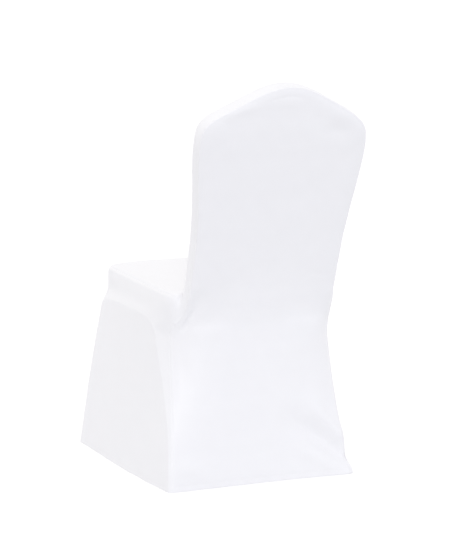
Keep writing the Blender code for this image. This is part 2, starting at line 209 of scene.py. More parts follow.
# Main folds: where each starts and ends, its half width, and its height, which is below zero for a trough.
# Each rises to its full height over this share of its way.
FOLD_RISE = 0.6
FOLD_COLUMNS = ("start", "end", "half_width", "height")
FOLDS = (
    ((-0.050, 0.194, 0.170), (-0.216, 0.212, 0.036), 0.024, -0.012),
    ((-0.110, 0.192, 0.205), (-0.204, 0.202, 0.092), 0.019, 0.007),
    ((-0.070, 0.205, 0.090), (-0.226, 0.223, 0.011), 0.020, 0.005),
)

# Small folds and creases: three places along each, its half width, its height,
# and its sharpness, from 0 for soft to 1 for a crease
CREASE_COLUMNS = ("start", "middle", "end", "half_width", "height", "sharpness")
CREASES = (
    # Crown of the back, seen from behind: a dark line with a soft ridge under it
    ((0.085, 0.314, 0.897), (0.030, 0.3185, 0.911), (-0.020, 0.318, 0.908), 0.0035, -0.0007, 0.5),
    ((0.070, 0.314, 0.889), (0.020, 0.317, 0.899), (-0.030, 0.316, 0.892), 0.0140, 0.0010, 0.0),
    # Left shoulder: a bright fold with a dark line above it
    ((0.172, 0.300, 0.864), (0.140, 0.307, 0.880), (0.090, 0.313, 0.895), 0.0100, 0.0017, 0.0),
    ((0.161, 0.300, 0.880), (0.136, 0.305, 0.892), (0.108, 0.311, 0.902), 0.0040, -0.0008, 0.3),
    # Right shoulder: a dimple with a soft band above it
    ((-0.085, 0.301, 0.835), (-0.120, 0.300, 0.831), (-0.154, 0.298, 0.828), 0.0170, -0.0024, 0.0),
    ((-0.060, 0.313, 0.882), (-0.110, 0.307, 0.868), (-0.160, 0.303, 0.862), 0.0150, 0.0012, 0.0),
    # Drag lines above the right end of the waist
    ((-0.100, 0.207, 0.488), (-0.130, 0.206, 0.487), (-0.160, 0.201, 0.478), 0.0060, -0.0009, 0.2),
    ((-0.144, 0.200, 0.469), (-0.166, 0.196, 0.461), (-0.188, 0.189, 0.450), 0.0035, -0.0009, 0.5),
    # Ends of the waist, where the cloth is pulled in
    ((0.189, 0.150, 0.360), (0.182, 0.167, 0.386), (0.173, 0.182, 0.416), 0.0065, -0.0030, 0.1),
    ((0.180, 0.170, 0.388), (0.168, 0.188, 0.428), (0.158, 0.198, 0.470), 0.0150, -0.0034, 0.0),
    ((-0.197, 0.140, 0.366), (-0.188, 0.150, 0.350), (-0.184, 0.150, 0.325), 0.0075, -0.0028, 0.1),
    # Rear skirt: soft ridges down to the right foot and along the left corner, and a fan at the left foot
    ((-0.099, 0.179, 0.270), (-0.131, 0.182, 0.208), (-0.172, 0.191, 0.145), 0.0160, 0.0016, 0.0),
    ((-0.154, 0.193, 0.149), (-0.185, 0.199, 0.116), (-0.206, 0.203, 0.085), 0.0080, 0.0013, 0.2),
    ((0.193, 0.147, 0.314), (0.196, 0.166, 0.215), (0.208, 0.188, 0.118), 0.0090, 0.0010, 0.0),
    ((0.219, 0.200, 0.052), (0.180, 0.201, 0.045), (0.130, 0.205, 0.020), 0.0170, 0.0018, 0.0),
    # Faint line across the back, pressed in while the cover was folded up
    ((0.095, 0.244, 0.621), (0.055, 0.246, 0.6225), (0.012, 0.2455, 0.622), 0.0025, -0.0004, 0.6),
)


def table(columns, rows):
    """Each row as a dictionary by its columns' names."""
    return [dict(zip(columns, row)) for row in rows]


def on_back(x, rise, behind):
    """A point of the leaning back, rise up its slope and behind the plane of its outline."""
    y = WAIST_Y + rise * math.sin(LEAN) + behind * math.cos(LEAN)
    z = WAIST_Z + rise * math.cos(LEAN) - behind * math.sin(LEAN)
    return Vector((x + crown_shift(rise), y, z))


def crown_shift(rise):
    """How far the crown lies to the left at a rise."""
    share = max(0.0, (rise - CROWN_SHIFT_RISE) / (CROWN_SECTIONS[-1][1] - CROWN_SHIFT_RISE))
    return CROWN_SHIFT * share


def mirrored(values):
    """Values from the left edge to the middle, carried on to the right edge."""
    return list(values) + [-value for value in reversed(values[:-1])]


class Cage:
    """Points and four-sided faces, each face with its panel, and each point's place on the flat cloth."""

    def __init__(self):
        self.points = []
        self.faces = []
        self.panels = []
        self.folds = {}
        self.flat = {}

    def point(self, position):
        self.points.append(Vector(position))
        return len(self.points) - 1

    def mark_fold(self, line, sharpness):
        """Note a line of points along which the cloth bends more sharply."""
        self.folds.update((frozenset(pair), sharpness) for pair in zip(line, line[1:]))

    def grid(self, rows, panel):
        """Faces between rows of points."""
        for lower, upper in zip(rows, rows[1:]):
            for column in range(len(lower) - 1):
                self.faces.append((lower[column], lower[column + 1], upper[column + 1], upper[column]))
                self.panels.append(panel)

    def lay_rows(self, rows, panel, axis, sign):
        """Lay a grid flat: across by its own axis, and along by the way from its first row."""
        for column in range(len(rows[0])):
            first = rows[0][column]
            along = self.flat.get((panel, first), (0.0, 0.0))[1]
            previous = self.points[first]
            for row in rows:
                here = self.points[row[column]]
                along += sign * (here - previous).length
                self.flat.setdefault((panel, row[column]), (here[axis], along))
                previous = here

    def lay_strip(self, rows, panel, directions):
        """Lay a strip flat beside a face: each row runs from the face outwards."""
        for row, (across, up) in zip(rows, directions):
            size = math.hypot(across, up)
            place = self.flat.setdefault((panel, row[0]), (0.0, 0.0))
            previous = self.points[row[0]]
            for index in row[1:]:
                way = (self.points[index] - previous).length / size
                place = (place[0] + way * across, place[1] + way * up)
                self.flat.setdefault((panel, index), place)
                previous = self.points[index]


def side_rows(cage, sign):
    """Rows of one side panel from the seat seam to the hem, each from front to rear, and its crest."""
    rows = [[] for _ in range(CREST_ROW + len(SKIRT_SHARES))]
    for index, section in enumerate(table(SIDE_COLUMNS, SIDE_SECTIONS)):
        x, y = section["seat_x"], section["seat_y"]
        if index == len(SIDE_SECTIONS) - 1:
            column = [(x, y, SEAT_Z - REAR_CORNER_DROP), TAB_MIDDLE, TAB_FOOT]
        else:
            tuck_y = y + FRONT_TUCK if index == 0 else y
            column = [
                (x, y, SEAT_Z),
                (x + CUSHION_BULGE, y, SEAT_Z - CUSHION_DROP),
                (x - section["tuck_depth"], tuck_y, SEAT_Z - section["tuck_drop"]),
            ]
        for row, (px, py, pz) in zip(rows, column + skirt_points(section)):
            row.append(cage.point((sign * px, py, pz)))
    cage.mark_fold(rows[CREST_ROW][:CREST_COLUMN + 1], CREST_CREASE)
    cage.mark_fold([row[CREST_COLUMN] for row in rows[CREST_ROW:]], CREST_CREASE)
    return rows


def skirt_points(section):
    """Points of one section from the crest down to the hem."""
    points = []
    for share in SKIRT_SHARES:
        bow = 4.0 * share * (1.0 - share)
        kicked = share * share * (3.0 - 2.0 * share)
        way = share + section["kick"] * (kicked - share)
        x = section["crest_x"] + way * (section["hem_x"] - section["crest_x"]) + bow * section["bow_x"]
        y = section["crest_y"] + way * (section["hem_y"] - section["crest_y"]) + bow * section["bow_y"]
        points.append((x, y, section["crest_z"] * (1.0 - share)))
    return points


def seat_rows(cage, left, right):
    """Rows of the seat top from front to rear, each from left to right."""
    rows = []
    shares = mirrored(SEAT_SHARES)
    for index, (start, end) in enumerate(zip(left[0], right[0])):
        edge = cage.points[start]
        row = [start]
        for column, share in enumerate(shares[1:-1], 1):
            fall = 1.0 - share * share
            y = edge.y - fall * SEAT_REAR_SHIFT[index]
            z = edge.z + (1.0 - abs(share) ** SEAT_FLATNESS) * SEAT_CROWN
            if index == 0:
                y += fall * FRONT_BOW[0]
                z = edge.z + FRONT_SWELL[min(column, len(shares) - 1 - column)]
            row.append(cage.point((edge.x * share, y, z)))
        rows.append(row + [end])
    return rows


def front_rows(cage, left, right, seat):
    """Rows of the front skirt from the seat edge to the hem, each from left to right."""
    rows = [seat[0]]
    shares = mirrored(SEAT_SHARES)
    for index in range(1, len(left)):
        start, end = left[index][0], right[index][0]
        edge = cage.points[start]
        row = [start]
        for share in shares[1:-1]:
            y = edge.y + (1.0 - share * share) * FRONT_BOW[index]
            row.append(cage.point((edge.x * share, y, edge.z)))
        rows.append(row + [end])
    return rows


def edge_outline():
    """Outline of the back from the left waist over the crown to the right waist.

    Each entry is the half width with its sign, the rise, and the direction of its inset.
    """
    left = [(row["half_width"], row["rise"], (1.0, 0.0)) for row in table(EDGE_COLUMNS, EDGE_SECTIONS)]
    corner_x, corner_rise, _ = left.pop()
    left.append((corner_x, corner_rise, SHOULDER_INSET))
    crown = [(row["half_width"], row["rise"], CROWN_INSET) for row in table(CROWN_COLUMNS, CROWN_SECTIONS)]
    peak_x, peak_rise, _ = crown.pop()
    half = left + crown
    middle = [(peak_x, peak_rise, (0.0, 1.0))]
    right = [(-x, rise, (-inset[0], inset[1])) for x, rise, inset in reversed(half)]
    return half + middle + right


def rim_rows(cage):
    """Rows across the edge of the back, one for each place on its outline above the waist."""
    rows = []
    outline = edge_outline()
    for index, (x, rise, direction) in enumerate(outline):
        row = []
        for place, section in enumerate(table(RIM_COLUMNS, RIM_SECTIONS)):
            inner_x = x - section["inset"] * direction[0]
            inner_rise = rise - section["inset"] * direction[1]
            crown = min(1.0, max(0.0, (rise - CROWN_SEAM_LOW) / (CROWN_SEAM_HIGH - CROWN_SEAM_LOW)))
            point = on_back(inner_x, inner_rise, section["behind"] + crown * section["crown_behind"])
            if place < EDGE_SEAM and index in (0, len(outline) - 1):
                point = on_back(inner_x, inner_rise + FOOT_RISE, section["behind"])
                if place > 0:
                    point = (math.copysign(FOOT_CORNER[0], x), FOOT_CORNER[1], FOOT_CORNER[2])
            row.append(cage.point(point))
        rows.append(row)
    return rows


def face_rows(cage, rim, side, first_row):
    """Rows of the back's front or rear face up from first_row, between the two edges of the rim."""
    count = len(EDGE_SECTIONS)
    section = table(RIM_COLUMNS, RIM_SECTIONS)[side]
    outline = edge_outline()
    crown_rise = [outline[count + index][1] for index in range(len(CROWN_SECTIONS))]
    corner_rise = outline[count - 1][1]
    shares = mirrored(FACE_SHARES)
    swell = math.copysign(FACE_SWELL, section["behind"])
    rows = [first_row]
    for index in range(count - 1):
        x, rise, _ = outline[index]
        lift = ((index + 1) / count) ** CROWN_POWER
        row = [rim[index][side]]
        for column, share in enumerate(shares[1:-1]):
            reach = min(column, len(shares) - 3 - column)
            up = rise + lift * (crown_rise[reach] - corner_rise)
            behind = section["behind"] + swell * (1.0 - share * share)
            if index == 0 and side != 0:
                behind += WAIST_FILL * (1.0 - abs(share) ** WAIST_FLATNESS)
            row.append(cage.point(on_back((x - section["inset"]) * share, up, behind)))
        rows.append(row + [rim[-1 - index][side]])
    rows.append([rim[index][side] for index in range(count - 1, len(rim) - count + 1)])
    return rows


def rear_rows(cage, left, right):
    """Rows of the rear skirt from the waist to the hem, each from left to right."""
    rows = []
    shares = mirrored(REAR_SHARES)
    for index, section in enumerate(table(REAR_COLUMNS, REAR_SECTIONS)):
        start, end = left[WAIST_ROW + index][-1], right[WAIST_ROW + index][-1]
        row = [start]
        for share in shares[1:-1]:
            edge = cage.points[start if share > 0.0 else end]
            across = max(0.0, (abs(share) - REAR_TURN) / (1.0 - REAR_TURN)) ** REAR_TURN_POWER
            y = section["middle_y"] + across * (edge.y - section["middle_y"])
            z = section["height"] + across * (edge.z - section["height"])
            row.append(cage.point((abs(edge.x) * share, y, z)))
        rows.append(row + [end])
    return rows


def swing_right_rear(point):
    """Move the rear skirt's right side outwards near the hem and inwards above it."""
    if point.z > WAIST_Z or point.y < 0.0:
        return
    height = point.z / WAIST_Z
    low = (1.0 - height) ** SWING_LOWNESS
    right = min(1.0, max(0.0, 0.5 - 0.5 * point.x / SWING_HALF_WIDTH))
    rear = min(1.0, point.y / SWING_DEPTH)
    place = (right * rear) ** 2
    point.x += place * (4.0 * REAR_DRAW_X * height * (1.0 - height) - REAR_SWING_X * low)
    point.y += place * REAR_SWING_Y * low


def move_by_pulls(point):
    """Move a point by the pulls of the chair."""
    total = Vector()
    for row in table(PULL_COLUMNS, PULLS):
        away = (point - Vector(row["middle"])).length / row["reach"]
        total += math.exp(-away * away) * Vector(row["move"])
    point += total


def cover_cage():
    """The cage of the whole cover."""
    cage = Cage()
    left = side_rows(cage, 1)
    right = side_rows(cage, -1)
    cage.grid(left, LEFT)
    cage.grid(right, RIGHT)
    seat = seat_rows(cage, left, right)
    cage.grid(seat, FRONT)
    front = front_rows(cage, left, right, seat)
    cage.grid(front, FRONT)
    rear = rear_rows(cage, left, right)
    cage.grid(rear, BACK)

    rim = rim_rows(cage)
    cage.mark_fold([row[EDGE_SEAM] for row in rim], EDGE_CREASE)
    for side in (rim[1:FRONT_EDGE_TOP], rim[-FRONT_EDGE_TOP:-1]):
        cage.mark_fold([row[EDGE_SEAM - 1] for row in side], FRONT_EDGE_CREASE)
    left_foot = [row[-1] for row in left[:3]] + rear[0][1:3]
    right_foot = [row[-1] for row in right[:3]] + rear[0][-2:-4:-1]
    around = [left_foot] + rim + [right_foot]
    front_strip = [row[:EDGE_SEAM + 1] for row in around]
    back_strip = [row[EDGE_SEAM:] for row in around]
    cage.grid(front_strip, FRONT)
    cage.grid(back_strip, BACK)
    front_face = face_rows(cage, rim, 0, seat[-1])
    back_face = face_rows(cage, rim, -1, rear[0][2:-2])
    cage.grid(front_face, FRONT)
    cage.grid(back_face, BACK)

    for rows, panel, axis, sign in (
        (left, LEFT, 1, -1), (right, RIGHT, 1, -1), (seat, FRONT, 0, 1), (front, FRONT, 0, -1),
        (rear, BACK, 0, -1), (front_face, FRONT, 0, 1), (back_face, BACK, 0, 1),
    ):
        cage.lay_rows(rows, panel, axis, sign)
    outwards = [direction for _, _, direction in edge_outline()]
    outwards = [(1.0, 0.0)] + outwards + [(-1.0, 0.0)]
    cage.lay_strip(front_strip, FRONT, outwards)
    cage.lay_strip([row[::-1] for row in back_strip], BACK, outwards)
    for point in cage.points:
        swing_right_rear(point)
        move_by_pulls(point)
    return cage


def smoothed_mesh(cage, levels):
    """The cage smoothed so many times, with its panels as materials and its flat cloth as texture places."""
    mesh = bpy.data.meshes.new("cover_surface")
    mesh.from_pydata(cage.points, [], cage.faces)
    for name in PANELS:
        mesh.materials.append(knit_materials[name])
    mesh.polygons.foreach_set("material_index", cage.panels)
    layer = mesh.uv_layers.new(name="cloth")
    for polygon, panel in zip(mesh.polygons, cage.panels):
        for loop in polygon.loop_indices:
            layer.data[loop].uv = cage.flat[(panel, mesh.loops[loop].vertex_index)]
    bm = bmesh.new()
    bm.from_mesh(mesh)
    bmesh.ops.recalc_face_normals(bm, faces=bm.faces)
    crease = bm.edges.layers.float.new("crease_edge")
    for edge in bm.edges:
        edge[crease] = cage.folds.get(frozenset(vertex.index for vertex in edge.verts), 0.0)
    bm.to_mesh(mesh)
    bm.free()

    cover = new_object("cover_surface", mesh)
    smoothing = cover.modifiers.new("smooth", "SUBSURF")
    smoothing.levels = levels
    smoothing.render_levels = levels
    bpy.context.view_layer.update()
    smoothed = bpy.data.meshes.new_from_object(cover.evaluated_get(bpy.context.evaluated_depsgraph_get()))
    bpy.data.objects.remove(cover, do_unlink=True)
    bpy.data.meshes.remove(mesh)
    return smoothed


def numbers(items, name, size, kind=float):
    """One property of all items of a collection, as rows of so many numbers."""
    values = np.empty(len(items) * size, np.int32 if kind is int else np.float32)
    items.foreach_get(name, values)
    return values.reshape(-1, size).astype(kind) if size > 1 else values.astype(kind)


def main_fold_height(points):
    """Height of the main folds at each point."""
    total = np.zeros(len(points))
    for fold in table(FOLD_COLUMNS, FOLDS):
        start, end = np.array(fold["start"]), np.array(fold["end"])
        away, share = distance_to_line(points, start, end)
        risen = np.minimum(1.0, share / FOLD_RISE)
        risen *= risen * (3.0 - 2.0 * risen)
        total += fold["height"] * risen * np.exp(-(away / fold["half_width"]) ** 2)
    return total


def distance_to_line(points, start, end):
    """Each point's distance to a straight line between two places, and its share of the way along it."""
    line = end - start
    share = np.clip((points - start) @ line / (line @ line), 0.0, 1.0)
    return np.linalg.norm(points - start - share[:, None] * line, axis=1), share


# How far beyond a crease it still moves the cloth, in half widths, the steps along a crease,
# the share of its way at which it begins and ends, and how late it fades there
CREASE_REACH = 3.5
CREASE_STEPS = 12
CREASE_END = 0.02
CREASE_FADE = 0.7


def crease_height(points):
    """Height of the small folds and creases at each point, each fading out towards its ends."""
    total = np.zeros(len(points))
    for crease in table(CREASE_COLUMNS, CREASES):
        start, middle, end = (np.array(crease[name]) for name in ("start", "middle", "end"))
        reach = CREASE_REACH * crease["half_width"]
        low = np.minimum(np.minimum(start, middle), end) - reach
        high = np.maximum(np.maximum(start, middle), end) + reach
        near = np.flatnonzero(((points > low) & (points < high)).all(axis=1))
        here = points[near]
        best = np.full(len(near), np.inf)
        along = np.zeros(len(near))
        control = 2.0 * middle - 0.5 * (start + end)
        steps = np.linspace(0.0, 1.0, CREASE_STEPS + 1)[:, None]
        curve = (1 - steps) ** 2 * start + 2 * steps * (1 - steps) * control + steps ** 2 * end
        for index in range(CREASE_STEPS):
            away, share = distance_to_line(here, curve[index], curve[index + 1])
            closer = away < best
            best[closer] = away[closer]
            along[closer] = (index + share[closer]) / CREASE_STEPS
        power = 2.0 - crease["sharpness"]
        fade = np.sin(np.pi * np.clip(along, CREASE_END, 1.0 - CREASE_END)) ** CREASE_FADE
        total[near] += crease["height"] * fade * np.exp(-(best / crease["half_width"]) ** power)
    return total


# Seams: the pairs of panels that each joins, the depth and half width of its groove,
# the height, place and half width of the ridge that its turned edges raise beside it,
# and the share of both that is left away from the seat's edge
SEAM_COLUMNS = ("pairs", "groove", "groove_width", "ridge", "ridge_place", "ridge_width", "share_below")
SEAMS = (
    (((FRONT, BACK),), 0.0000, 0.0012, 0.0008, 0.0000, 0.0026, 1.0),
    (((FRONT, LEFT), (FRONT, RIGHT)), 0.0006, 0.0014, 0.0014, 0.0065, 0.0050, 0.1),
    (((BACK, LEFT), (BACK, RIGHT)), 0.0002, 0.0013, 0.0004, 0.0030, 0.0030, 1.0),
)
# Farthest from a seam at which it moves the cloth, and how many of its short lines are measured
SEAM_REACH = 0.025
SEAM_NEIGHBOURS = 3
# Heights between which the seams of the seat grow to their full share
SEAT_SEAM_LOW = 0.425
SEAT_SEAM_HIGH = 0.445
# Where they end at the back, and over which length they fade there
SEAT_SEAM_REAR = 0.148
SEAT_SEAM_FADE = 0.030
# Puckers beside a seam: height, how far they reach from it, and length
PUCKER = 0.00022
PUCKER_REACH = 0.009
PUCKER_LENGTH = 0.016
# Unevenness of the whole cloth: height and length of its waves
UNEVENNESS = ((0.00045, 0.110), (0.00022, 0.045))
# Waves: how many are added up, the spread of their lengths, and their seeds
WAVE_COUNT = 7
WAVE_SPREAD = (0.75, 1.35)
HEM_SEED = 3
PUCKER_SEED = 5
UNEVEN_SEED = 11
# Ring of faces along every panel's edge
EDGE_RING = 0.00015
# Half of the gap between two panels along their seam, and the depths of the edges turned in
HALF_GAP = 0.00002
TURNED_IN = (0.0015, 0.0060)
# Hem: its height, how far its two layers stand out and over which height that fades,
# the size, length and height of the waves in its edge
HEM_HEIGHT = 0.019
HEM_STEP = 0.0001
HEM_STEP_FADE = 0.0008
HEM_STEP_LIMIT = 50.0
HEM_WAVE = 0.0007
HEM_WAVE_LENGTH = 0.060
HEM_WAVE_HEIGHT = 0.030
# Height below which the cloth is cut finer, how many cuts, and how high the cloth is searched for places
HEM_ZONE = 0.0245
HEM_CUTS = 3
HEM_SEARCH = 0.049
# Edge folded up behind the hem: inset and height of each line, and the share of the height it always has
HEM_FOLD = ((0.0012, 0.0), (0.0024, 0.003), (0.0024, 0.017))
HEM_FOLD_LEAST = 0.3
# Rows of stitches: heights, distance from stitch to stitch, length and radius, and the groove they pull in
STITCH_ROWS = (0.0135, 0.0180)
STITCH_PITCH = 0.0032
STITCH_LENGTH = 0.0024
STITCH_RADIUS = 0.00028
STITCH_GROOVE = 0.00012
STITCH_GROOVE_WIDTH = 0.0010


def waves(points, length, seed):
    """Smooth unevenness from -1 to 1: a sum of plane waves in fixed directions."""
    random = np.random.default_rng(seed)
    total = np.zeros(len(points))
    for _ in range(WAVE_COUNT):
        direction = random.normal(size=3)
        direction *= 2.0 * math.pi / (length * random.uniform(*WAVE_SPREAD) * np.linalg.norm(direction))
        total += np.sin(points @ direction + random.uniform(0.0, 2.0 * math.pi))
    return total / math.sqrt(2.0 * WAVE_COUNT)


def refine(mesh):
    """Cut the cloth finer along the hem and beside every seam."""
    bm = bmesh.new()
    bm.from_mesh(mesh)
    upright = [
        edge for edge in bm.edges
        if max(edge.verts[0].co.z, edge.verts[1].co.z) < HEM_ZONE
        and abs(edge.verts[0].co.z - edge.verts[1].co.z) > 0.5 * edge.calc_length()
    ]
    bmesh.ops.subdivide_edges(bm, edges=upright, cuts=HEM_CUTS, use_grid_fill=True)
    for panel in range(len(PANELS)):
        faces = [face for face in bm.faces if face.material_index == panel]
        bmesh.ops.inset_region(
            bm, faces=faces, thickness=EDGE_RING, use_boundary=True,
            use_even_offset=True, use_interpolate=True,
        )
    bm.to_mesh(mesh)
    bm.free()


class Surface:
    """The whole cloth as arrays: points, normals, quads, and each quad's panel and corners laid flat."""

    def __init__(self, mesh):
        self.points = numbers(mesh.vertices, "co", 3)
        self.normals = numbers(mesh.vertices, "normal", 3)
        self.quads = numbers(mesh.loops, "vertex_index", 1, int).reshape(-1, 4)
        self.panels = numbers(mesh.polygons, "material_index", 1, int)
        self.flat = numbers(mesh.uv_layers["cloth"].uv, "vector", 2).reshape(-1, 4, 2)

    def seam_lines(self, pairs):
        """Start and end of every edge between two such panels."""
        ends = np.stack([self.quads, np.roll(self.quads, -1, axis=1)], axis=2).reshape(-1, 2)
        panels = np.repeat(self.panels, 4)
        keys = np.sort(ends, axis=1)
        order = np.lexsort((keys[:, 1], keys[:, 0]))
        same = (keys[order[1:]] == keys[order[:-1]]).all(axis=1)
        first, second = order[:-1][same], order[1:][same]
        kinds = np.sort(np.stack([panels[first], panels[second]], axis=1), axis=1)
        wanted = np.zeros(len(kinds), bool)
        for pair in pairs:
            wanted |= (kinds == pair).all(axis=1)
        return ends[first[wanted]]


def distance_to_seam(points, lines):
    """Each point's distance to the nearest of the seam's short lines."""
    middles = 0.5 * (points[lines[:, 0]] + points[lines[:, 1]])
    tree = KDTree(len(middles))
    for index, place in enumerate(middles):
        tree.insert(place, index)
    tree.balance()
    away = np.full(len(points), np.inf)
    low = middles.min(axis=0) - SEAM_REACH
    high = middles.max(axis=0) + SEAM_REACH
    for index in np.flatnonzero(((points > low) & (points < high)).all(axis=1)):
        found = tree.find_n(points[index], SEAM_NEIGHBOURS)
        if found[0][2] <= SEAM_REACH:
            here = points[index:index + 1]
            away[index] = min(distance_to_line(here, *points[lines[line]])[0][0] for _, line, _ in found)
    return away


def seam_height(surface):
    """Height of the grooves, ridges and puckers beside the seams at each point."""
    total = np.zeros(len(surface.points))
    nearest = np.full(len(surface.points), np.inf)
    risen = (surface.points[:, 2] - SEAT_SEAM_LOW) / (SEAT_SEAM_HIGH - SEAT_SEAM_LOW)
    ahead = (SEAT_SEAM_REAR - surface.points[:, 1]) / SEAT_SEAM_FADE
    risen = np.clip(risen, 0.0, 1.0) * np.clip(ahead, 0.0, 1.0)
    for seam in table(SEAM_COLUMNS, SEAMS):
        away = distance_to_seam(surface.points, surface.seam_lines(seam["pairs"]))
        profile = seam["ridge"] * np.exp(-((away - seam["ridge_place"]) / seam["ridge_width"]) ** 2)
        profile -= seam["groove"] * np.exp(-(away / seam["groove_width"]) ** 2)
        total += profile * (seam["share_below"] + (1.0 - seam["share_below"]) * risen)
        nearest = np.minimum(nearest, away)
    pucker = waves(surface.points, PUCKER_LENGTH, PUCKER_SEED)
    return total + PUCKER * pucker * np.exp(-nearest / PUCKER_REACH)


def hem_height(points):
    """How far the hem's two layers and its rows of stitches move the cloth at each point."""
    height = points[:, 2]
    step = 1.0 / (1.0 + np.exp(np.minimum((height - HEM_HEIGHT) / HEM_STEP_FADE, HEM_STEP_LIMIT)))
    total = HEM_STEP * step
    for row in STITCH_ROWS:
        total -= STITCH_GROOVE * np.exp(-((height - row) / STITCH_GROOVE_WIDTH) ** 2)
    low = np.exp(-(height / HEM_WAVE_HEIGHT) ** 2)
    return total + HEM_WAVE * low * waves(points, HEM_WAVE_LENGTH, HEM_SEED)


def centre_of_solids(cage):
    """The middle of the solids' box, which the coarse surface and its main folds set."""
    mesh = smoothed_mesh(cage, COARSE_LEVELS)
    points = numbers(mesh.vertices, "co", 3)
    normals = numbers(mesh.vertices, "normal", 3)
    lift = main_fold_height(points)[:, None] * normals
    lift[np.abs(points[:, 2]) < HEM_TOLERANCE, 2] = 0.0
    points += lift
    bpy.data.meshes.remove(mesh)
    middle = 0.5 * (points.min(axis=0) + points.max(axis=0))
    return np.array((middle[0], middle[1], 0.0))


def cover_surface():
    """The finished outer surface of the cloth."""
    cage = cover_cage()
    centre = centre_of_solids(cage)
    mesh = smoothed_mesh(cage, FINE_LEVELS)
    refine(mesh)
    surface = Surface(mesh)
    bpy.data.meshes.remove(mesh)
    points = surface.points
    height = main_fold_height(points) + crease_height(points) + seam_height(surface) + hem_height(points)
    for seed, (size, length) in enumerate(UNEVENNESS):
        height += size * waves(points, length, UNEVEN_SEED + seed)
    lift = height[:, None] * surface.normals
    lift[np.abs(points[:, 2]) < HEM_TOLERANCE, 2] = 0.0
    surface.points = points + lift - centre
    surface.points[:, 2] = np.maximum(surface.points[:, 2], 0.0)
    return surface


class Sheet:
    """One panel's open sheet, with its edges turned in at the seams and folded up at the hem."""

    def __init__(self, surface, panel):
        chosen = surface.panels == panel
        used, local = np.unique(surface.quads[chosen], return_inverse=True)
        self.quads = local.reshape(-1, 4)
        self.points = surface.points[used]
        self.normals = surface.normals[used]
        self.flat = np.zeros((len(used), 2))
        self.flat[self.quads.ravel()] = surface.flat[chosen].reshape(-1, 2)
        self.outer_faces = len(self.quads)
        starts, ends = self.quads.ravel(), np.roll(self.quads, -1, axis=1).ravel()
        count = len(used)
        open_edge = ~np.isin(starts * count + ends, ends * count + starts)
        edges = np.stack([starts[open_edge], ends[open_edge]], axis=1)
        on_floor = np.abs(self.points[:, 2]) < HEM_TOLERANCE
        at_hem = on_floor[edges].all(axis=1)
        self.hem = edges[at_hem]
        self.seam = edges[~at_hem]
        self.draw_back()
        self.turn_in()
        self.fold_hem()

    def ways_in(self):
        """Along the cloth, from each point on an edge into the panel."""
        middles = self.points[self.quads].mean(axis=1)
        total = np.zeros_like(self.points)
        for corner in range(4):
            np.add.at(total, self.quads[:, corner], middles - self.points[self.quads[:, corner]])
        total -= (total * self.normals).sum(axis=1)[:, None] * self.normals
        size = np.linalg.norm(total, axis=1)[:, None]
        return total / np.maximum(size, TINY)

    def draw_back(self):
        """Leave half of the gap along the seams."""
        rim = np.unique(self.seam)
        self.points[rim] += HALF_GAP * self.ways_in()[rim]
        self.points[:, 2] = np.maximum(self.points[:, 2], 0.0)

    def add_strip(self, edges, rings):
        """Faces from the panel's edge over rings of points, each given for every point of the edge."""
        rim = np.unique(edges)
        place = np.zeros(len(self.points), int)
        place[rim] = rim
        before = place.copy()
        for ring, flat in rings:
            after = np.zeros_like(before)
            after[rim] = len(self.points) + np.arange(len(rim))
            start, end = edges[:, 0], edges[:, 1]
            self.quads = np.concatenate([
                self.quads,
                np.stack([before[end], before[start], after[start], after[end]], axis=1),
            ])
            self.points = np.concatenate([self.points, ring[rim]])
            self.flat = np.concatenate([self.flat, flat[rim]])
            before = after

    def turn_in(self):
        """Turn the seam's edge in under the cloth."""
        count = len(self.normals)
        points, flat = self.points[:count], self.flat[:count]
        rings = []
        for depth in TURNED_IN:
            ring = points - depth * self.normals
            ring[:, 2] = np.maximum(ring[:, 2], CLOTH_THICKNESS)
            rings.append((ring, flat + (0.0, depth)))
        self.add_strip(self.seam, rings)

    def low_cloth(self):
        """The outer cloth near the floor, as a tree in which places on it are found."""
        outer = self.quads[:self.outer_faces]
        low = outer[(self.points[outer][:, :, 2] < HEM_SEARCH).all(axis=1)]
        return BVHTree.FromPolygons(self.points.tolist(), low.tolist())

    def fold_hem(self):
        """Fold the hem's edge in and up behind the cloth."""
        count = len(self.normals)
        points, flat = self.points[:count], self.flat[:count]
        tree = self.low_cloth()
        rings = []
        for inset, up in HEM_FOLD:
            ring = points.copy()
            for index in np.unique(self.hem):
                x, y, _ = points[index]
                place, normal, _, _ = tree.find_nearest(Vector((x, y, up)))
                ring[index] = place - inset * normal
            ring[:, 2] = np.maximum(ring[:, 2], HEM_FOLD_LEAST * up)
            rings.append((ring, flat - (0.0, up)))
        self.add_strip(self.hem, rings)

    def mesh(self, name):
        made = bpy.data.meshes.new(name)
        made.from_pydata(self.points.tolist(), [], self.quads.tolist())
        ends = numbers(made.edges, "vertices", 2, int)
        at_rim = np.zeros(len(self.points), bool)
        at_rim[np.unique(self.seam)] = True
        crisp = made.attributes.new("sharp_edge", "BOOLEAN", "EDGE")
        crisp.data.foreach_set("value", at_rim[ends].all(axis=1))
        layer = made.uv_layers.new(name="cloth")
        layer.uv.foreach_set("vector", self.flat[self.quads.ravel()].astype(np.float32).ravel())
        made.shade_smooth()
        return made


def capsule(length, radius, rings=4, sides=5):
    """Points and faces of a small rounded stitch along X."""
    points, faces = [], []
    for ring in range(rings):
        angle = math.pi * (ring + 0.5) / rings
        x = -0.5 * length * math.cos(angle)
        size = radius * math.sin(angle) ** 0.5
        for side in range(sides):
            turn = 2.0 * math.pi * side / sides
            points.append((x, size * math.cos(turn), size * math.sin(turn)))
    for ring in range(rings - 1):
        for side in range(sides):
            following = (side + 1) % sides
            a, b = ring * sides + side, ring * sides + following
            faces.append((a, b, b + sides, a + sides))
    faces.append(tuple(range(sides))[::-1])
    faces.append(tuple(range((rings - 1) * sides, rings * sides)))
    return np.array(points), faces


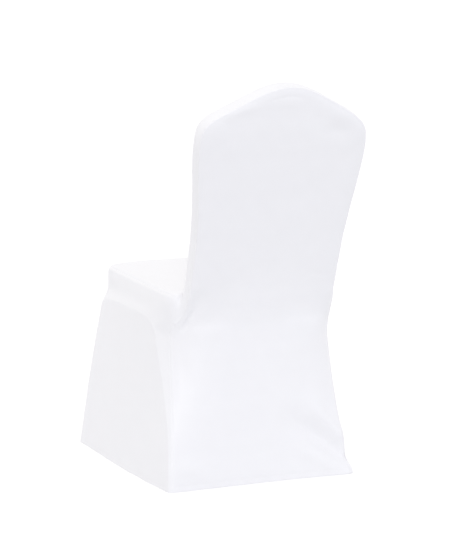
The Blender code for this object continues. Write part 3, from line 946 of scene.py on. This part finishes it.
def hem_line(sheet):
    """The points of a panel's hem in order, from one corner to the other."""
    following = dict(sheet.hem.tolist())
    start = (set(following) - set(following.values())).pop()
    line = [start]
    while line[-1] in following:
        line.append(following[line[-1]])
    return sheet.points[line]


def hem_stitches(sheet, name):
    """Two rows of stitches through the hem of a panel, as one mesh."""
    line = hem_line(sheet)
    along = np.concatenate([[0.0], np.cumsum(np.linalg.norm(np.diff(line, axis=0), axis=1))])
    spots = np.arange(STITCH_PITCH, along[-1] - STITCH_PITCH, STITCH_PITCH)
    tree = sheet.low_cloth()
    shape, shape_faces = capsule(STITCH_LENGTH, STITCH_RADIUS)
    points, faces = [], []
    for row, height in enumerate(STITCH_ROWS):
        shift = 0.5 * STITCH_PITCH * row
        for spot in spots + shift:
            here = [np.interp(spot, along, line[:, axis]) for axis in (0, 1)]
            ahead = [np.interp(spot + STITCH_LENGTH, along, line[:, axis]) for axis in (0, 1)]
            place, normal, _, _ = tree.find_nearest(Vector((here[0], here[1], height)))
            way = Vector((ahead[0] - here[0], ahead[1] - here[1], 0.0))
            way = (way - way.dot(normal) * normal).normalized()
            turn = Matrix((way, normal.cross(way), normal)).transposed()
            start = len(points)
            points += [place + turn @ Vector(point) for point in shape]
            faces += [tuple(start + index for index in face) for face in shape_faces]
    made = bpy.data.meshes.new(name)
    made.from_pydata(points, [], faces)
    made.shade_smooth()
    return made


class Nodes:
    """Shorthand for building a node tree."""

    def __init__(self, owner):
        owner.use_nodes = True
        self.tree = owner.node_tree

    def add(self, kind, **settings):
        node = self.tree.nodes.new(kind)
        for name, value in settings.items():
            setattr(node, name, value)
        return node

    def put(self, node, socket, value):
        """Set an input, or link it to an output."""
        if isinstance(value, bpy.types.NodeSocket):
            self.tree.links.new(value, node.inputs[socket])
        else:
            node.inputs[socket].default_value = value

    def math(self, operation, *values):
        node = self.add("ShaderNodeMath", operation=operation)
        for socket, value in enumerate(values):
            self.put(node, socket, value)
        return node.outputs[0]

    def ramp(self, value, low, high, out_low, out_high):
        node = self.add("ShaderNodeMapRange")
        for socket, item in enumerate((value, low, high, out_low, out_high)):
            self.put(node, socket, item)
        return node.outputs[0]

    def noise(self, place, scale, detail):
        node = self.add("ShaderNodeTexNoise")
        self.put(node, "Vector", place)
        self.put(node, "Scale", scale)
        self.put(node, "Detail", detail)
        return node.outputs["Fac"]

    def blend(self, share, low, high):
        node = self.add("ShaderNodeMix", data_type="RGBA")
        self.put(node, "Factor", share)
        self.put(node, "A", low)
        self.put(node, "B", high)
        return node.outputs["Result"]

    def cloth(self, height, relief, depth, tone_and_painted_shade, sheen):
        """Give the shader a relief, a white between two and a sheen; the white follows a random tone and
        painted shade in the low parts of the relief.
        """
        shader = self.tree.nodes["Principled BSDF"]
        bump = self.add("ShaderNodeBump")
        self.put(bump, "Strength", relief)
        self.put(bump, "Distance", depth)
        self.put(bump, "Height", height)
        self.put(shader, "Normal", bump.outputs["Normal"])
        self.put(shader, "Base Color", self.blend(tone_and_painted_shade, WHITE_LOW, WHITE_HIGH))
        self.put(shader, "Sheen Weight", sheen)
        return shader


# Knit: width of a column of stitches, height of a row, how far a stitch slants,
# and how high it stands where it is lowest
WALE = 0.0009
COURSE = 0.0007
SLANT = 0.5
STITCH_LOW = 0.35
# Yarn: fineness of its fuzz, and how much of the height that makes
YARN_SCALE = 1400.0
YARN_DETAIL = 2.0
YARN_SHARE = 0.35
# Mottle: its fineness, its share of the colour, the rest of which is painted shade in the hollows between
# the stitches, and the part of its range that changes the roughness
MOTTLE_SCALE = 22.0
MOTTLE_DETAIL = 3.0
MOTTLE_SHARE = 0.75
MOTTLE_RANGE = (0.3, 0.7)
# Look of the cloth: its two whites, between which its colour goes by a random mottle and by painted shade in
# the hollows of its relief, the depth and strength of its relief, and its gloss
WHITE_LOW = (0.825, 0.825, 0.845, 1.0)
WHITE_HIGH = (0.855, 0.855, 0.875, 1.0)
KNIT_DEPTH = 0.00012
KNIT_RELIEF = 0.35
ROUGHNESS = (0.40, 0.49)
SPECULAR = 0.9
SHEEN = 0.05
SHEEN_ROUGHNESS = 0.4
# Thread: fineness, depth and strength of its twist, and its gloss
TWIST_SCALE = 3000.0
TWIST_DEPTH = 0.00005
TWIST_RELIEF = 0.4
THREAD_ROUGHNESS = 0.45
THREAD_SHEEN = 0.1


def knit_material(name):
    """White stretch knit: columns of slanting stitches, a fuzzy yarn, a faint mottle, and painted shade in
    the hollows between the stitches.
    """
    material = bpy.data.materials.new("knit_" + name)
    nodes = Nodes(material)
    place = nodes.add("ShaderNodeTexCoord").outputs["Object"]
    cloth = nodes.add("ShaderNodeUVMap", uv_map="cloth").outputs["UV"]
    split = nodes.add("ShaderNodeSeparateXYZ")
    nodes.put(split, "Vector", cloth)
    across = nodes.math("MULTIPLY", split.outputs["X"], 1.0 / WALE)
    up = nodes.math("MULTIPLY", split.outputs["Y"], 1.0 / COURSE)
    column = nodes.math("PINGPONG", across, 0.5)
    slanted = nodes.math("ADD", up, nodes.math("MULTIPLY", column, 2.0 * SLANT))
    stitch = nodes.math("SINE", nodes.math("MULTIPLY", slanted, 2.0 * math.pi))
    leg = nodes.math("SINE", nodes.math("MULTIPLY", column, 2.0 * math.pi))
    knit = nodes.math("MULTIPLY", leg, nodes.ramp(stitch, -1.0, 1.0, STITCH_LOW, 1.0))
    yarn = nodes.noise(place, YARN_SCALE, YARN_DETAIL)
    height = nodes.math("ADD", knit, nodes.math("MULTIPLY", yarn, YARN_SHARE))
    mottle = nodes.noise(place, MOTTLE_SCALE, MOTTLE_DETAIL)
    # Colour: a random mottle, plus painted shade that follows the stitches' height and is darker in the
    # hollows between them
    tone_and_painted_shade = nodes.math(
        "ADD", nodes.math("MULTIPLY", mottle, MOTTLE_SHARE),
        nodes.math("MULTIPLY", knit, 1.0 - MOTTLE_SHARE),
    )
    shader = nodes.cloth(height, KNIT_RELIEF, KNIT_DEPTH, tone_and_painted_shade, SHEEN)
    nodes.put(shader, "Roughness", nodes.ramp(mottle, *MOTTLE_RANGE, *ROUGHNESS))
    nodes.put(shader, "Sheen Roughness", SHEEN_ROUGHNESS)
    nodes.put(shader, "Specular IOR Level", SPECULAR)
    material.diffuse_color = WHITE_HIGH
    return material


def thread_material():
    """White sewing thread with a fine twist, and painted shade in the low parts of the twist."""
    material = bpy.data.materials.new("thread")
    nodes = Nodes(material)
    place = nodes.add("ShaderNodeTexCoord").outputs["Object"]
    twist = nodes.noise(place, TWIST_SCALE, 1.0)
    # The twist sets both the relief and the white: painted shade where the twist is low
    shader = nodes.cloth(twist, TWIST_RELIEF, TWIST_DEPTH, twist, THREAD_SHEEN)
    nodes.put(shader, "Roughness", THREAD_ROUGHNESS)
    return material


def new_object(name, data, materials=()):
    made = bpy.data.objects.new(name, data)
    bpy.context.scene.collection.objects.link(made)
    for material in materials:
        data.materials.append(material)
    return made


def make_cover():
    surface = cover_surface()
    thread = thread_material()
    for panel, node in enumerate(PANELS):
        sheet = Sheet(surface, panel)
        name = "knit_" + node
        piece = new_object(name, sheet.mesh(name), [knit_materials[node]])
        thickness = piece.modifiers.new("thickness", "SOLIDIFY")
        thickness.thickness = CLOTH_THICKNESS
        thickness.offset = -1.0
        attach(piece, "root")
        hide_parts(node)
        stitching = new_object("hem_stitching_" + node, hem_stitches(sheet, "hem_stitching"), [thread])
        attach(stitching, "root")


# Camera: where it looks, its direction, its tilt to the side, its distance, and its focal length in pixels
TARGET = Vector((0.004, -0.0258, 0.443))
CAMERA_SIDE = math.radians(26.8)
CAMERA_UP = math.radians(11.35)
CAMERA_ROLL = math.radians(1.5)
CAMERA_DISTANCE = 4.5
FOCAL_PIXELS = 1888.0
PICTURE_HEIGHT = 559.0
SENSOR = 36.0
NEAREST = 0.05
FARTHEST = 200.0


def make_camera():
    data = bpy.data.cameras.new("camera")
    camera = new_object("camera", data)
    side = math.pi - CAMERA_SIDE
    back = Vector((
        math.sin(side) * math.cos(CAMERA_UP),
        -math.cos(side) * math.cos(CAMERA_UP),
        math.sin(CAMERA_UP),
    ))
    right = (-back).cross(Vector((0.0, 0.0, 1.0))).normalized()
    up = right.cross(-back)
    level, tilt = math.cos(CAMERA_ROLL), math.sin(CAMERA_ROLL)
    across = level * right + tilt * up
    above = level * up - tilt * right
    axes = Matrix((across, above, back)).transposed()
    camera.matrix_world = Matrix.Translation(TARGET + CAMERA_DISTANCE * back) @ axes.to_4x4()
    data.sensor_width = SENSOR
    data.lens = FOCAL_PIXELS / PICTURE_HEIGHT * SENSOR
    data.clip_start = NEAREST
    data.clip_end = FARTHEST
    bpy.context.scene.camera = camera


# Light: strength, colour, the way it comes from, and how many degrees wide it is
LIGHT_COLUMNS = ("name", "strength", "colour", "comes_from", "width")
LIGHTS = (
    ("overhead_light", 0.25, (1.0, 0.96, 0.80), (0.18, -0.30, 0.93), 30.0),
    ("rear_left_light", 0.42, (1.0, 0.985, 0.91), (0.36, 0.86, 0.36), 14.0),
)
# Studio walls: brightness at the horizon, and how it changes with the height of the direction and its square
SKY_HORIZON = 1.114
SKY_SLOPE = 0.24
SKY_CURVE = 0.46
# How much darker the walls are straight to the sides
SKY_SIDES = 0.09
# Their colour ahead and behind, and between which depths of the direction it turns
SKY_FRONT = (1.00, 0.99, 0.99, 1.0)
SKY_REAR = (0.972, 0.978, 1.030, 1.0)
SKY_TURN = (-0.5, 1.0)
# Floor: its colour, roughness and glow, half its width, and how far below the hem it lies
FLOOR_COLOUR = (0.90, 0.90, 0.90, 1.0)
FLOOR_ROUGHNESS = 0.9
FLOOR_GLOW = 0.15
FLOOR_HALF = 60.0
FLOOR_DROP = 0.0003


def make_lights():
    for light in table(LIGHT_COLUMNS, LIGHTS):
        data = bpy.data.lights.new(light["name"], "SUN")
        data.energy = light["strength"]
        data.color = light["colour"]
        data.angle = math.radians(light["width"])
        lamp = new_object(light["name"], data)
        lamp.rotation_mode = "QUATERNION"
        lamp.rotation_quaternion = Vector(light["comes_from"]).to_track_quat("Z", "Y")
    world = bpy.data.worlds.new("studio")
    bpy.context.scene.world = world
    nodes = Nodes(world)
    split = nodes.add("ShaderNodeSeparateXYZ")
    nodes.put(split, "Vector", nodes.add("ShaderNodeTexCoord").outputs["Generated"])
    height = split.outputs["Z"]
    bend = nodes.math("MULTIPLY", height, nodes.math("MULTIPLY_ADD", height, -SKY_CURVE, SKY_SLOPE))
    background = world.node_tree.nodes["Background"]
    sides = nodes.math("MULTIPLY", split.outputs["X"], split.outputs["X"])
    bend = nodes.math("MULTIPLY_ADD", sides, -SKY_SIDES, bend)
    nodes.put(background, "Strength", nodes.math("ADD", bend, SKY_HORIZON))
    to_rear = nodes.ramp(split.outputs["Y"], *SKY_TURN, 0.0, 1.0)
    nodes.put(background, "Color", nodes.blend(to_rear, SKY_FRONT, SKY_REAR))
    bpy.context.scene.view_settings.view_transform = "Standard"


def make_floor():
    mesh = bpy.data.meshes.new("floor")
    corners = [(-1, -1), (1, -1), (1, 1), (-1, 1)]
    mesh.from_pydata([(FLOOR_HALF * x, FLOOR_HALF * y, -FLOOR_DROP) for x, y in corners], [], [(0, 1, 2, 3)])
    material = bpy.data.materials.new("floor")
    nodes = Nodes(material)
    shader = material.node_tree.nodes["Principled BSDF"]
    for socket, value in (
        ("Base Color", FLOOR_COLOUR), ("Roughness", FLOOR_ROUGHNESS), ("Specular IOR Level", 0.0),
        ("Emission Color", FLOOR_COLOUR), ("Emission Strength", FLOOR_GLOW),
    ):
        nodes.put(shader, socket, value)
    floor = new_object("floor", mesh, [material])
    floor.visible_diffuse = False


make_camera()
make_lights()
make_floor()
knit_materials = {name: knit_material(name) for name in PANELS}
make_cover()
